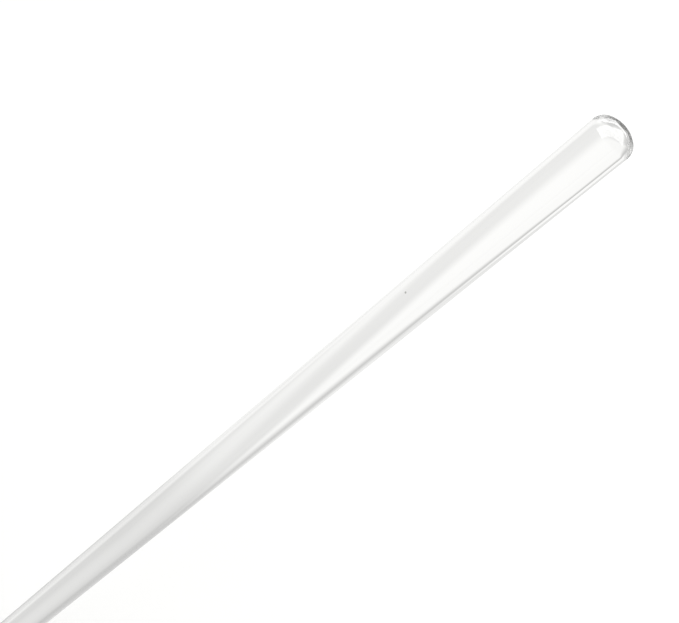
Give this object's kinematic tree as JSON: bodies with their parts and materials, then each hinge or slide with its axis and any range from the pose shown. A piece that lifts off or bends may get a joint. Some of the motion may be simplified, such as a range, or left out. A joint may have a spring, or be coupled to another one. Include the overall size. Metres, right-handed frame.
{
  "type": "glass stirring rod",
  "caption": "Solid clear glass stirring rod, straight and round, with both ends melted to smooth shallow domes, for stirring and for guiding a pour.",
  "frame": {"origin": "middle of the rod, on its axis", "axes": "+Z along the rod; both ends are alike"},
  "size_m": [0.007, 0.007, 0.2],
  "materials": {
    "clear_glass": "smooth drawn surface, fire-polished ends"
  },
  "bodies": {
    "root": {"glass_rod": "clear_glass"}
  },
  "joints": []
}
